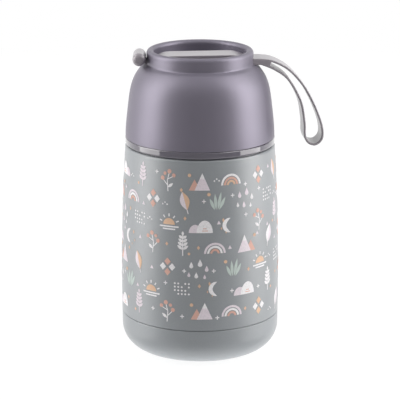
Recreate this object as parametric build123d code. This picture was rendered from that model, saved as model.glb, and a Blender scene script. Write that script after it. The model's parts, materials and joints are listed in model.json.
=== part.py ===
from build123d import *
import math
import os

# Insulated food jar: a double-walled steel vessel, a screw-in stopper with a pressure
# release button, and a screw-on cup that carries a silicone carrying strap.
# Millimetres. The origin is the centre of the underside, +Z is up and +X points to the strap.

# Body
body_radius = 46.0          # widest radius of the painted body
belly_height = 38.0         # height of the widest point
seam_height = 122.7         # top of the painted body
seam_inset = 2.7            # how much narrower the body is at the seam
corner_radius = 14.6        # rounding between the wall and the underside
groove_height = 22.9        # joint between the body and the base cup
groove_gap = 0.4            # open width of that joint
groove_round = 0.4          # rounding along the edge of the base cup
shell_wall = 0.6            # sheet of the outer shell
edge_round = 1.2            # rounding where the shell turns in at the seam
skirt_depth = 7.3           # how far the shell reaches down inside the base cup
weld_gap = 0.05             # between pieces that are welded or pressed together
slide_gap = 0.3             # between soft or moving pieces

# Base
base_wall = 0.8             # sheet of the base cup
base_lift = 0.4             # the steel clears the table by this much
pad_radius = 27.5           # soft pad under the base
pad_thickness = 1.6
bottom_plate_height = 8.0   # underside of the plate that closes the vacuum
bottom_plate_radius = 36.0  # flat part of that plate
bottom_plate_wall = 0.8
bottom_plate_rim = 4.0      # height of its welded edge
getter_radius = 5.5
getter_thickness = 2.4
getter_offset = 17.0
seal_hole_radius = 3.0      # evacuation hole in the bottom plate
seal_bead_radius = 4.4
seal_bead_height = 1.1

# Inner vessel
liner_wall = 0.5
vacuum_gap = 3.2            # space between shell and liner at the seam
liner_floor = 14.0          # inside floor of the food space
liner_corner = 12.0
liner_neck_depth = 23.0     # straight part of the liner's mouth
liner_shoulder_depth = 36.0  # the liner starts to narrow this far below the mouth
mouth_radius = 34.0
mouth_rise = 18.5           # from the seam to the top of the steel mouth
mouth_rim = 1.0             # thickness of its rolled rim
neck_wall = 3.0             # liner, gap and shell together at the mouth

# Collar
collar_gap = 0.6            # shadow line above the painted shell
collar_gap_depth = 1.9
collar_ring_height = 4.0    # glossy ring that shows between body and cup
collar_sleeve_height = 15.4  # threaded sleeve, above the shell
ring_low_round = 1.0        # glossy ring's lower edge
ring_top_round = 0.5        # and its upper edge
collar_chamfer = 0.35       # top of the sleeve

# Screw threads: short ridges, one for each start, all with the same steep lead
thread_starts = 4
thread_lead = 16.0          # rise in one turn
thread_depth = 1.3          # height of an outside ridge over its wall
thread_gap = 0.6            # from the tip of a ridge to the wall that it faces
thread_root_width = 1.9
thread_tip_width = 1.1
thread_span = 56.0          # degrees that one ridge covers
thread_embed = 0.35         # how far a ridge sinks into its wall

# Stopper
plug_depth = 23.0           # how far the plug reaches below the mouth
plug_wall = 1.6
plug_floor = 1.5
plug_round = 2.0
flange_radius = 36.6
flange_thickness = 2.0
gasket_thickness = 2.2
seal_clearance = 0.2        # above and below a gasket
cover_height = 9.4
cover_wall = 1.8
cover_round = 2.2
grip_count = 30
grip_radius = 1.5
grip_depth = 0.6
foam_height = 19.0
stopper_ridge_drop = 11.0   # from the mouth down to the start of the plug's ridges
vent_boss_radius = 5.2
vent_boss_height = 20.5

# Pressure release
stem_radius = 2.0
button_radius = 8.5
button_flange = 1.1         # how far the button's hidden flange stands out
button_rise = 1.2           # how far the button stands above the cover
vent_seal_radius = 6.5
vent_seal_thickness = 1.6
vent_nut_radius = 3.2
vent_nut_thickness = 1.5
stem_end = 0.4              # end of the stem below its nut
spring_radius = 3.6
spring_wire = 0.3           # radius of the wire
spring_turns = 6

# Cup
cup_rise = 22.8             # from the stopper's cover to the crest of the cup's rim
cup_clearance = 0.15        # between the glossy ring and the cup
cup_inset = 0.2             # the cup's edge is this much narrower than the ring
neck_radius = 30.7
neck_height = 7.4           # from the foot of the neck to the crest
rim_round = 2.1             # half the thickness of the rim
cup_wall = 1.0
cup_fit = 0.1               # between cup shell and cup liner
cup_liner_wall = 1.0
cup_roof = 1.0
cup_liner_lift = 1.9        # the liner stops this far above the edge of the shell
cup_ridge_rise = 9.5        # from the seam up to the start of the collar's ridges
cup_taper = 0.7             # how much the cup narrows over the height of its thread
cup_gasket_width = 1.5
cup_gasket_room = 0.5       # between the gasket and the collar's ridges
recess_depth = 8.7          # from the crest to the lowest part of the recess
crown_radius = 17.5         # flat top of the raised floor that the strap lies over
crown_rise = 2.5
crown_run = 11.0            # over which the floor falls from there
slot_room = 0.8             # above the strap, where it goes through the neck
cup_belly_rise = 8.4        # lowest point of the wall's outline, above the cup's edge
cup_belly_share = 0.036
# Rest of the outline: height below the foot of the neck, share of the cup's overhang
cup_outline = (
    (25.6, 0.117),
    (18.6, 0.190),
    (12.6, 0.294),
    (7.6, 0.464),
    (3.6, 0.690),
    (1.3, 0.903),
)

# Strap
band_width = 15.2
band_thickness = 3.6        # across the cup and at the root
strand_thickness = 1.3
root_share = 0.72           # part of the first stretch of the fold that is solid
hinge_gap = 0.3
hinge_offset = 3.9          # from the neck's wall to the line on which the strap bends
toggle_radius = 3.8
toggle_length = 19.0
toggle_offset = 4.2         # from the neck's wall to the toggle's axis
toggle_rise = 2.6           # toggle's axis above the bending line
toggle_round = 2.5          # its ends are domed
toggle_yaw = -5.5           # degrees that the soft bar is turned on its stem
tongue_width = 5.2          # narrow end of the band, which holds the toggle
tongue_inset = 1.5          # the band narrows this far inside the recess's wall
tongue_thickness = 2.4      # of that end outside the neck
# Middle line of the folded strap, out and up from the bending line
strap_line = (
    (0, 1.15),
    (7.5, -0.2),
    (16.3, -5.2),
    (24.4, -14.3),
    (30.3, -24.8),
    (34.8, -36.0),
    (36.1, -43.3),
    (34.9, -47.3),
    (31.6, -49.4),
    (27.8, -48.1),
    (25.8, -44.1),
    (25.4, -36.1),
    (23.0, -23.6),
    (15.9, -10.8),
    (7.9, -4.6),
    (0, -1.15),
)

# Worked out from the sizes above
seam_radius = body_radius - seam_inset
wall_arc = ((seam_height - belly_height) ** 2 + seam_inset**2) / (2 * seam_inset)
skirt_bottom = groove_height - skirt_depth
neck_outer = mouth_radius + neck_wall
mouth_height = seam_height + mouth_rise
liner_shoulder_low = mouth_height - liner_shoulder_depth
liner_shoulder_high = mouth_height - liner_neck_depth
stopper_ridge_height = mouth_height - stopper_ridge_drop
liner_radius = seam_radius - shell_wall - vacuum_gap - liner_wall
ring_bottom = seam_height + collar_gap
ring_top = ring_bottom + collar_ring_height
cup_bottom = ring_top + cup_clearance
cup_radius = seam_radius - cup_inset
cup_ridge_height = seam_height + cup_ridge_rise
cup_bore = cup_radius - cup_taper - cup_wall - cup_fit - cup_liner_wall
cup_liner_bottom = cup_bottom + cup_liner_lift
ridge_step = thread_lead / thread_starts / 2
plug_radius = mouth_radius - thread_gap - thread_depth
plug_bottom = mouth_height - plug_depth
gasket_bottom = mouth_height + seal_clearance
flange_bottom = gasket_bottom + gasket_thickness + seal_clearance
cover_bottom = flange_bottom + flange_thickness
cover_top = cover_bottom + cover_height
total_height = cover_top + cup_rise
neck_foot = total_height - neck_height
boss_top = plug_bottom + plug_floor + vent_boss_height
stem_bore = stem_radius + slide_gap
button_under = cover_top - cover_wall - slide_gap
vent_seal_bottom = plug_bottom - slide_gap - vent_seal_thickness
vent_nut_bottom = vent_seal_bottom - vent_nut_thickness
recess_radius = neck_radius - 2 * rim_round
recess_floor = total_height - recess_depth
crown_edge = crown_radius + crown_run
hinge_x = neck_radius + hinge_offset
hinge_z = recess_floor + cup_fit + band_thickness / 2


def wall_radius(height, inset=0.0):
    """Radius of the body's curved wall, or of a surface inside it."""
    rise = height - belly_height
    return body_radius - wall_arc + math.sqrt(wall_arc**2 - rise**2) - inset


skirt_radius = wall_radius(skirt_bottom) - base_wall - cup_fit


def turned(*edges):
    """Solid of revolution about Z from edges drawn as (radius, height)."""
    outline = Curve() + list(edges)
    return revolve(Plane.XZ * make_face(outline.edges()), Axis.Z)


def lathe(*points):
    """Solid of revolution about Z from the corners of its section."""
    return turned(Polyline(*points, close=True))


def tube(inner, outer, low, high):
    """Plain ring or, with no inner radius, a disc."""
    return lathe((inner, low), (outer, low), (outer, high), (inner, high))


def shifted(points, distance):
    """Each point moved to the left of the line's direction."""
    moved = []
    last = len(points) - 1
    for i, (x, y) in enumerate(points):
        before = points[max(i - 1, 0)]
        after = points[min(i + 1, last)]
        dx = after[0] - before[0]
        dy = after[1] - before[1]
        length = math.hypot(dx, dy)
        moved.append((x - dy * distance / length, y + dx * distance / length))
    return moved


def wall_edge(low, high, inset=0.0):
    """The curved wall between two heights."""
    middle = (low + high) / 2
    ends = [(wall_radius(z, inset), z) for z in (low, middle, high)]
    return ThreePointArc(*ends)


def arc(centre, radius, start, end):
    """Arc about a centre between two directions in degrees."""
    return CenterArc(centre, radius, start, end - start)


def male_radius(bore):
    """Wall radius of the part that screws into a bore."""
    return bore - thread_gap - thread_depth


def ridges(root, tip, height, inward):
    """One thread ridge for each start, climbing anticlockwise from the given height."""
    rise = thread_lead * thread_span / 360
    root_radius = root + thread_embed if inward else root - thread_embed
    helix = Helix(pitch=thread_lead, height=rise, radius=root_radius)
    section = make_face(
        Plane.XZ
        * Polyline(
            (root_radius, -thread_root_width / 2),
            (tip, -thread_tip_width / 2),
            (tip, thread_tip_width / 2),
            (root_radius, thread_root_width / 2),
            close=True,
        )
    )
    ridge = sweep(section, path=helix, is_frenet=True)
    ridge = Pos(0, 0, height) * ridge
    return [Rot(0, 0, 360 / thread_starts * i) * ridge for i in range(thread_starts)]


def outer_shell():
    """Painted steel shell: skirt, curved wall, shoulder and the outside of the neck."""
    low = groove_height + groove_gap / 2
    high = seam_height - edge_round
    joggle = groove_height - groove_gap / 2 + weld_gap
    inner_low = low + shell_wall
    turn = wall_radius(high) - edge_round
    neck_top = mouth_height - mouth_rim - weld_gap
    return turned(
        Polyline(
            (skirt_radius, skirt_bottom),
            (skirt_radius, joggle),
            (wall_radius(low), low),
        ),
        wall_edge(low, high),
        arc((turn, high), edge_round, 0, 90),
        Polyline(
            (turn, seam_height),
            (neck_outer, seam_height),
            (neck_outer, neck_top),
            (neck_outer - shell_wall, neck_top),
            (neck_outer - shell_wall, seam_height - shell_wall),
            (turn, seam_height - shell_wall),
        ),
        arc((turn, high), edge_round - shell_wall, 90, 0),
        wall_edge(high, inner_low, shell_wall),
        Polyline(
            (wall_radius(inner_low, shell_wall), inner_low),
            (skirt_radius - shell_wall, joggle + shell_wall),
            (skirt_radius - shell_wall, skirt_bottom),
            (skirt_radius, skirt_bottom),
        ),
    )


def inner_liner():
    """Steel food vessel with a rolled rim and the thread ridges that hold the stopper."""
    bend = liner_floor + liner_corner
    centre = (liner_radius - liner_corner, bend)
    outside = mouth_radius + liner_wall
    rim = mouth_rim / 2
    vessel = turned(
        Line((0, liner_floor), (centre[0], liner_floor)),
        arc(centre, liner_corner, -90, 0),
        Line((liner_radius, bend), (liner_radius, liner_shoulder_low)),
        shoulder(0),
        Line((mouth_radius, liner_shoulder_high), (mouth_radius, mouth_height - rim)),
        arc((mouth_radius + rim, mouth_height - rim), rim, 180, 90),
        Line((mouth_radius + rim, mouth_height), (neck_outer - rim, mouth_height)),
        arc((neck_outer - rim, mouth_height - rim), rim, 90, 0),
        Polyline(
            (neck_outer, mouth_height - rim),
            (neck_outer, mouth_height - mouth_rim),
            (outside, mouth_height - mouth_rim),
            (outside, liner_shoulder_high),
        ),
        shoulder(liner_wall),
        Line((liner_radius + liner_wall, liner_shoulder_low), (liner_radius + liner_wall, bend)),
        arc(centre, liner_corner + liner_wall, 0, -90),
        Polyline((centre[0], liner_floor - liner_wall), (0, liner_floor - liner_wall), (0, liner_floor)),
    )
    tip = male_radius(mouth_radius) + thread_gap
    return vessel + ridges(mouth_radius, tip, stopper_ridge_height - ridge_step, inward=True)


def shoulder(outset):
    """Smooth narrowing of the liner from the food space to the mouth."""
    return Spline(
        (liner_radius + outset, liner_shoulder_low),
        (mouth_radius + outset, liner_shoulder_high),
        tangents=((0, 1), (0, 1)),
    )


def bottom_plate():
    """Dished plate, welded into the skirt, that closes the vacuum from below."""
    rim = skirt_radius - shell_wall - weld_gap
    low = bottom_plate_height
    high = low + bottom_plate_wall
    return lathe(
        (seal_hole_radius, low),
        (bottom_plate_radius, low),
        (rim, skirt_bottom),
        (rim, skirt_bottom + bottom_plate_rim),
        (rim - bottom_plate_wall, skirt_bottom + bottom_plate_rim),
        (rim - bottom_plate_wall, skirt_bottom),
        (bottom_plate_radius - bottom_plate_wall / 2, high),
        (seal_hole_radius, high),
    )


def vacuum_seal():
    """Bead of solder glass that closes the evacuation hole."""
    low = bottom_plate_height
    hole = seal_hole_radius - weld_gap
    return lathe(
        (0, low - seal_bead_height),
        (seal_bead_radius / 2, low - seal_bead_height),
        (seal_bead_radius, low),
        (hole, low),
        (hole, low + bottom_plate_wall),
        (0, low + bottom_plate_wall),
    )


def getter():
    """Pill that keeps the vacuum, on the inside of the bottom plate."""
    low = bottom_plate_height + bottom_plate_wall
    pill = tube(0, getter_radius, low, low + getter_thickness)
    return Pos(getter_offset, 0, 0) * pill


def base_cup():
    """Painted steel cup that covers the bottom plate, with a recess for the pad."""
    top = groove_height - groove_gap / 2
    edge = wall_radius(top - groove_round)
    bend = base_lift + corner_radius
    foot = wall_radius(bend) - corner_radius
    recess = pad_radius + slide_gap
    return turned(
        Polyline((0, pad_thickness), (recess, pad_thickness), (recess, base_lift), (foot, base_lift)),
        arc((foot, bend), corner_radius, -90, 0),
        wall_edge(bend, top - groove_round),
        arc((edge - groove_round, top - groove_round), groove_round, 0, 90),
        Line((edge - groove_round, top), (wall_radius(top, base_wall), top)),
        wall_edge(top, bend, base_wall),
        arc((foot, bend), corner_radius - base_wall, 0, -90),
        Polyline(
            (foot, base_lift + base_wall),
            (recess + base_wall, base_lift + base_wall),
            (recess + base_wall, pad_thickness + base_wall),
            (0, pad_thickness + base_wall),
            (0, pad_thickness),
        ),
    )


def base_pad():
    """Soft disc that the jar stands on."""
    return lathe(
        (0, 0),
        (pad_radius - base_lift, 0),
        (pad_radius, base_lift),
        (pad_radius, pad_thickness),
        (0, pad_thickness),
    )


def collar():
    """Glossy ring above the painted shell, with the threaded sleeve for the cup."""
    sleeve = male_radius(cup_bore)
    inside = neck_outer + cup_fit
    top = seam_height + collar_sleeve_height
    under = seam_radius - collar_gap_depth
    low = ring_bottom + ring_low_round
    high = ring_top - ring_top_round
    ring = turned(
        Polyline((inside, seam_height), (under, seam_height), (under, ring_bottom)),
        Line((under, ring_bottom), (seam_radius - ring_low_round, ring_bottom)),
        arc((seam_radius - ring_low_round, low), ring_low_round, -90, 0),
        Line((seam_radius, low), (seam_radius, high)),
        arc((seam_radius - ring_top_round, high), ring_top_round, 0, 90),
        Line((seam_radius - ring_top_round, ring_top), (sleeve, ring_top)),
        Polyline((sleeve, ring_top), (sleeve, top - collar_chamfer), (sleeve - collar_chamfer, top)),
        Line((sleeve - collar_chamfer, top), (inside, top)),
        Line((inside, top), (inside, seam_height)),
    )
    return ring + ridges(sleeve, cup_bore - thread_gap, cup_ridge_height, inward=False)


def stopper_gasket():
    """Silicone ring between the steel rim and the stopper's flange."""
    return soft_ring(plug_radius + slide_gap, flange_radius - slide_gap, gasket_bottom, gasket_thickness)


def cup_gasket():
    """Silicone ring inside the edge of the cup, above the glossy ring."""
    inner = cup_bore - thread_gap + cup_gasket_room
    low = ring_top + slide_gap
    return soft_ring(inner, inner + cup_gasket_width, low, cup_liner_bottom - slide_gap - low)


def soft_ring(inner, outer, low, thickness):
    """Ring with its four corners taken off."""
    high = low + thickness
    cut = thickness / 5
    return lathe(
        (inner + cut, low),
        (outer - cut, low),
        (outer, low + cut),
        (outer, high - cut),
        (outer - cut, high),
        (inner + cut, high),
        (inner, high - cut),
        (inner, low + cut),
    )


def stopper_plug():
    """Hollow plug with a flange, a guide for the release stem and its thread ridges."""
    inner = plug_radius - plug_wall
    floor = plug_bottom + plug_floor
    bend = plug_bottom + plug_round
    plug = turned(
        Line((stem_bore, plug_bottom), (plug_radius - plug_round, plug_bottom)),
        arc((plug_radius - plug_round, bend), plug_round, -90, 0),
        Polyline(
            (plug_radius, bend),
            (plug_radius, flange_bottom),
            (flange_radius, flange_bottom),
            (flange_radius, cover_bottom),
            (inner, cover_bottom),
            (inner, floor),
            (vent_boss_radius, floor),
            (vent_boss_radius, boss_top),
            (stem_bore, boss_top),
            (stem_bore, plug_bottom),
        ),
    )
    tip = mouth_radius - thread_gap
    return plug + ridges(plug_radius, tip, stopper_ridge_height, inward=False)


def stopper_cover():
    """Grip cap on the plug, fluted round its edge, with a hole for the button."""
    radius = flange_radius - cup_inset
    hole = button_radius + slide_gap
    under = cover_top - cover_wall
    cap = turned(
        Line((radius, cover_bottom), (radius, cover_top - cover_round)),
        arc((radius - cover_round, cover_top - cover_round), cover_round, 0, 90),
        Polyline(
            (radius - cover_round, cover_top),
            (hole, cover_top),
            (hole, under),
            (radius - cover_wall, under),
            (radius - cover_wall, cover_bottom),
            (radius, cover_bottom),
        ),
    )
    flute_height = cover_height - cover_round
    flute = Pos(radius + grip_radius - grip_depth, 0, cover_bottom + flute_height / 2)
    flute = flute * Cylinder(grip_radius, flute_height)
    return cap - [Rot(0, 0, 360 / grip_count * i) * flute for i in range(grip_count)]


def stopper_foam():
    """Insulating foam inside the plug."""
    low = plug_bottom + plug_floor
    return tube(vent_boss_radius + slide_gap, plug_radius - plug_wall - slide_gap, low, low + foam_height)


def vent_button():
    """Button that lets air in, with a flange that keeps it under the cover."""
    socket = stem_radius + weld_gap
    low = button_under - button_flange
    top = cover_top + button_rise
    return lathe(
        (socket, low),
        (button_radius + button_flange, low),
        (button_radius + button_flange, button_under),
        (button_radius, button_under),
        (button_radius, top - button_rise / 2),
        (button_radius - button_rise / 2, top),
        (0, top),
        (0, button_under),
        (socket, button_under),
    )


def vent_stem():
    """Rod from the button to the seal below the plug."""
    return tube(0, stem_radius, vent_nut_bottom - stem_end, button_under)


def vent_seal():
    """Soft disc that the spring pulls against the underside of the plug."""
    return tube(stem_radius + weld_gap, vent_seal_radius, vent_seal_bottom, plug_bottom - slide_gap)


def vent_nut():
    """Hexagonal nut that holds the soft disc on the stem."""
    nut = extrude(RegularPolygon(vent_nut_radius, 6) - Circle(stem_radius + weld_gap), vent_nut_thickness)
    return Pos(0, 0, vent_nut_bottom) * nut


def vent_spring():
    """Coil spring round the stem, between its guide and the button."""
    low = boss_top + spring_wire + weld_gap
    high = button_under - button_flange - spring_wire - weld_gap
    coil = Helix(pitch=(high - low) / spring_turns, height=high - low, radius=spring_radius)
    section = Plane(coil @ 0, z_dir=coil % 0) * Circle(spring_wire)
    return Pos(0, 0, low) * sweep(section, path=coil, is_frenet=True)


def cup_points():
    """Outside of the cup's wall, from its edge up to the foot of its neck."""
    overhang = cup_radius - neck_radius
    belly = (cup_radius - cup_belly_share * overhang, cup_bottom + cup_belly_rise)
    wall = [(cup_radius - share * overhang, neck_foot - below) for below, share in cup_outline]
    return [(cup_radius, cup_bottom), belly] + wall + [(neck_radius, neck_foot)]


def cup_core(inset, roof):
    """Everything inside the cup's wall, this far in from the outside, up to a flat roof."""
    line = [point for point in shifted(cup_points(), inset) if point[1] < roof - cup_roof]
    low = cup_bottom - cup_wall
    return turned(
        Polyline((0, roof), (0, low), (line[0][0], low), line[0]),
        Spline(*line),
        Polyline(line[-1], (line[-1][0] - roof + line[-1][1], roof), (0, roof)),
    )


def cup_shell():
    """Outer wall of the cup with its neck, rounded rim and the recess in its top."""
    crest = total_height - rim_round
    low = cup_bottom - cup_wall
    line = cup_points()
    body = turned(
        Polyline((0, recess_floor), (0, low), (cup_radius, low), (cup_radius, cup_bottom)),
        Spline(*line, tangents=((0, 1), (0, 1))),
        Line((neck_radius, neck_foot), (neck_radius, crest)),
        arc((neck_radius - rim_round, crest), rim_round, 0, 180),
        Polyline((recess_radius, crest), (recess_radius, recess_floor), (0, recess_floor)),
    )
    root_slot = neck_slot(band_width)
    tongue_slot = Rot(0, 0, 180) * neck_slot(tongue_width)
    crown = turned(
        Polyline((crown_edge, recess_floor), (0, recess_floor), (0, recess_floor + crown_rise)),
        Line((0, recess_floor + crown_rise), (crown_radius, recess_floor + crown_rise)),
        crown_slope(recess_floor),
    )
    shell = body - cup_core(cup_wall, recess_floor - cup_roof)
    shell = shell - root_slot - tongue_slot + crown
    return shell - tube(0, body_radius, low - cup_wall, cup_bottom)


def neck_slot(width):
    """Space for the strap where it goes through the neck on the +X side."""
    return block(
        (recess_radius / 2, hinge_x + band_thickness),
        width + 2 * slide_gap,
        (recess_floor, hinge_z + band_thickness / 2 + slot_room),
    )


def crown_slope(low, side=1):
    """Fall of the recess floor, from the flat of its crown down to the given height."""
    start = (side * crown_radius, low + crown_rise)
    return Spline(start, (side * crown_edge, low), tangents=((side, 0), (side, 0)))


def cup_liner():
    """Plastic bowl inside the cup, with the ridges that take the collar's thread."""
    outset = cup_wall + cup_fit
    roof = recess_floor - cup_roof - slide_gap
    bowl = cup_core(outset, roof) - cup_core(outset + cup_liner_wall, roof - cup_liner_wall)
    bowl = bowl - tube(0, body_radius, cup_bottom - 2 * cup_wall, cup_liner_bottom)
    tip = male_radius(cup_bore) + thread_gap
    root = cup_bore + cup_taper
    return bowl + ridges(root, tip, cup_ridge_height - ridge_step, inward=True)


def block(across, width, heights):
    """Box between two X values and two heights, centred on the X axis."""
    centre = Pos(sum(across) / 2, 0, sum(heights) / 2)
    return centre * Box(across[1] - across[0], width, heights[1] - heights[0])


def strap_anchor():
    """Silicone band over the cup, with the root outside one slot and the toggle outside the other."""
    low = hinge_z - band_thickness / 2
    high = hinge_z + band_thickness / 2
    root_end = hinge_x - band_thickness / 2 - hinge_gap
    toggle_x = -neck_radius - toggle_offset
    toggle_z = hinge_z + toggle_rise
    band = make_face(
        Curve()
        + [
            Line((-crown_edge, low), (-crown_edge, high)),
            crown_slope(high, side=-1),
            Line((-crown_radius, high + crown_rise), (crown_radius, high + crown_rise)),
            crown_slope(high),
            Line((crown_edge, high), (crown_edge, low)),
            crown_slope(low),
            Line((crown_radius, low + crown_rise), (-crown_radius, low + crown_rise)),
            crown_slope(low, side=-1),
        ]
    )
    band_end = recess_radius - tongue_inset
    wide = block((-band_end, crown_edge), band_width, (low, high + crown_rise))
    narrow = block((-crown_edge, -band_end), tongue_width, (low, high + crown_rise))
    band = extrude(Plane.XZ * band, band_width / 2, both=True) & (wide + narrow)
    root = block((crown_edge, root_end), band_width, (low, high))
    tongue = block((-neck_radius, -crown_edge), tongue_width, (low, high))
    stem = block((toggle_x, -neck_radius), tongue_width, (high - tongue_thickness, high))
    bar = fillet(Cylinder(toggle_radius, toggle_length).edges().filter_by(GeomType.CIRCLE), toggle_round)
    bar = Pos(toggle_x, 0, toggle_z) * Rot(0, 0, toggle_yaw) * Rot(90, 0, 0) * bar
    return band + root + tongue + stem + bar


def strap_loop():
    """Free end of the strap: a flat band folded into a long loop from one root."""
    half = strand_thickness / 2
    outer = shifted(strap_line, half)
    inner = shifted(strap_line, -half)
    ribbon = make_face(
        Curve()
        + [Spline(*outer), Line(outer[-1], inner[-1]), Spline(*inner), Line(inner[0], outer[0])]
    )
    above = [along(strap_line[0], strap_line[1], share) for share in (0, root_share)]
    below = [along(strap_line[-1], strap_line[-2], share) for share in (root_share, 0)]
    root = make_face(Polyline(*above, *below, close=True))
    flat = ribbon + root + Circle(band_thickness / 2)
    loop = extrude(Plane.XZ * flat, band_width / 2, both=True)
    return Pos(hinge_x, 0, hinge_z) * loop


def along(start, end, share):
    """Point part of the way from one point to another."""
    return tuple(a + (b - a) * share for a, b in zip(start, end))


nodes = {
    "outer_shell": outer_shell,
    "inner_liner": inner_liner,
    "bottom_plate": bottom_plate,
    "vacuum_seal": vacuum_seal,
    "getter": getter,
    "base_cup": base_cup,
    "base_pad": base_pad,
    "collar": collar,
    "stopper_gasket": stopper_gasket,
    "stopper_plug": stopper_plug,
    "stopper_cover": stopper_cover,
    "stopper_foam": stopper_foam,
    "vent_button": vent_button,
    "vent_stem": vent_stem,
    "vent_seal": vent_seal,
    "vent_nut": vent_nut,
    "vent_spring": vent_spring,
    "cup_gasket": cup_gasket,
    "cup_shell": cup_shell,
    "cup_liner": cup_liner,
    "strap_anchor": strap_anchor,
    "strap_loop": strap_loop,
}

os.makedirs("parts", exist_ok=True)
for name, make in nodes.items():
    export_step(make(), f"parts/{name}.step")
    print(name)
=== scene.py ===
# %% [markdown]
# # Insulated food jar
#
# A double-walled steel jar with a stopper, a drinking cup screwed on as its lid, and a soft
# silicone carrying strap. The hard pieces come ready made and at real size from the packed
# model, and they stay where they are. This file gives each of them the finish of the real
# thing, and adds what a stiff solid can't hold: a soft one-piece strap, a coil spring and a
# screen-printed pattern on the body.
#
# Lengths are worked out in millimetres, because that is how such a jar is measured, and are
# turned into Blender's metres at the last moment.

# %% Load the imported model
import json
import math
import random

import bmesh
import bpy
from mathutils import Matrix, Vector


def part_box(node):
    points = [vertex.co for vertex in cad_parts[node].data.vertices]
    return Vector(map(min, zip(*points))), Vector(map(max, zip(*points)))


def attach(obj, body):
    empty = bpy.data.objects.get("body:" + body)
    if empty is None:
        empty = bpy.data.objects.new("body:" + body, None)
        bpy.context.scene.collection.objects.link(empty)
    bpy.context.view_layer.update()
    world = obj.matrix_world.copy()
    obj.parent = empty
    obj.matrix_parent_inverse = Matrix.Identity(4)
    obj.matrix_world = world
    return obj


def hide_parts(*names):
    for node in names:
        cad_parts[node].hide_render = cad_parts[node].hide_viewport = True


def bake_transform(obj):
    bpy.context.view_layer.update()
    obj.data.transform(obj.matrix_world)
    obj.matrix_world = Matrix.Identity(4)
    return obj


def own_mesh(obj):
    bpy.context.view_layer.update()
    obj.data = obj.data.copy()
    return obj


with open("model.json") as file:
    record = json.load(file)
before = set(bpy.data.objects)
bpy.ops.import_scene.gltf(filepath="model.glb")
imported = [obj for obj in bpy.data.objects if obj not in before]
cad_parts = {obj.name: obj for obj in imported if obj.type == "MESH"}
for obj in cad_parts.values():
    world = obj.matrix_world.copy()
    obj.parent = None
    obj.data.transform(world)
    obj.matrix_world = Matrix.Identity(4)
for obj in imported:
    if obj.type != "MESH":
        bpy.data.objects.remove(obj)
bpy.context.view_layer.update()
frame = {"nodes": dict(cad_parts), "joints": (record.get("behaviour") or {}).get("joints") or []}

MM = 0.001
nodes = frame["nodes"]

# %% [markdown]
# ## Making materials from nodes
#
# Every finish starts as one Principled shader. What is the same all over the surface, such
# as the gloss of a polished ring, is set straight on the shader. What changes over the
# surface, such as grain or a brushed line, is a small tree of texture nodes linked into it.
#
# Colours are written as the sRGB hex values that a paint chart would give. Blender works in
# linear light, so one function turns them over. A noise texture's scale is how many of its
# bumps fit in a metre, so a grain of a given size in millimetres is one over that size.

# %% Colour, scale and node helpers
def linear(code):
    """Linear red, green, blue and alpha of an sRGB hex colour."""
    parts = [int(code[i : i + 2], 16) / 255 for i in (1, 3, 5)]
    curve = [c / 12.92 if c <= 0.04045 else ((c + 0.055) / 1.055) ** 2.4 for c in parts]
    return (*curve, 1.0)


def grains_of(size):
    """Texture scale at which one grain is this many millimetres across."""
    return 1 / (size * MM)


def add_node(tree, kind, inputs=None, **settings):
    """Add a node, change its settings, then fill each input or link it."""
    node = tree.nodes.new(kind)
    for name, value in settings.items():
        setattr(node, name, value)
    for key, value in (inputs or {}).items():
        if isinstance(value, bpy.types.NodeSocket):
            tree.links.new(value, node.inputs[key])
        else:
            node.inputs[key].default_value = value
    return node


def new_material(name, **finish):
    """Start a material: returns it with its tree, its shader and the place on the piece."""
    material = bpy.data.materials.new(name)
    material.use_nodes = True
    tree = material.node_tree
    shader = tree.nodes["Principled BSDF"]
    for socket, value in finish.items():
        shader.inputs[socket.replace("_", " ")].default_value = value
    place = add_node(tree, "ShaderNodeTexCoord").outputs["Object"]
    return material, tree, shader, place


def dress(material, *names):
    """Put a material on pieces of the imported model."""
    for name in names:
        nodes[name].data.materials.clear()
        nodes[name].data.materials.append(material)
    print(material.name, "on", ", ".join(names))


# %% [markdown]
# ## Body: satin lacquer sprayed on stainless steel
#
# The outside of the body and of its base cup is steel with a sprayed and baked lacquer, a
# greyed sage green. Sprayed lacquer never dries dead flat. It keeps a faint "orange peel",
# waves about 2 mm long and a few hundredths of a millimetre deep, which soften the edge of
# every reflection. The clear top coat gives it a broad, soft shine at the sides of the jar.
# The colour is nearly even, with clouds of a percent or two where the coat is thicker, and
# the pigment shows as a speck far too fine for a picture, so it is drawn at half a millimetre.

# %% Satin lacquer on steel
body_lacquer, tree, shader, place = new_material(
    "Satin_lacquer_sprayed_on_steel",
    Roughness=0.45,
    IOR=1.5,
    Coat_Weight=1.0,
    Coat_Roughness=0.38,
    Coat_IOR=1.55,
)
coat = add_node(tree, "ShaderNodeTexNoise", {"Vector": place, "Scale": grains_of(38), "Detail": 2.0})
sage = add_node(
    tree,
    "ShaderNodeMix",
    {0: coat.outputs["Fac"], 6: linear("#868b8f"), 7: linear("#8e9398")},
    data_type="RGBA",
)
speck = add_node(tree, "ShaderNodeTexNoise", {"Vector": place, "Scale": grains_of(0.5), "Detail": 1.0})
pigment = add_node(
    tree,
    "ShaderNodeMapRange",
    {"Value": speck.outputs["Fac"], "From Min": 0.3, "From Max": 0.7, "To Min": 0.0, "To Max": 0.1},
)
colour = add_node(
    tree,
    "ShaderNodeMix",
    {0: pigment.outputs["Result"], 6: sage.outputs[2], 7: linear("#b1b5b8")},
    data_type="RGBA",
)
tree.links.new(colour.outputs[2], shader.inputs["Base Color"])
peel = add_node(tree, "ShaderNodeTexNoise", {"Vector": place, "Scale": grains_of(2.2), "Detail": 1.5})
wave = add_node(
    tree, "ShaderNodeBump", {"Height": peel.outputs["Fac"], "Strength": 1.0, "Distance": 0.02 * MM}
)
tree.links.new(wave.outputs["Normal"], shader.inputs["Normal"])
dress(body_lacquer, "outer_shell", "base_cup")

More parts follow.
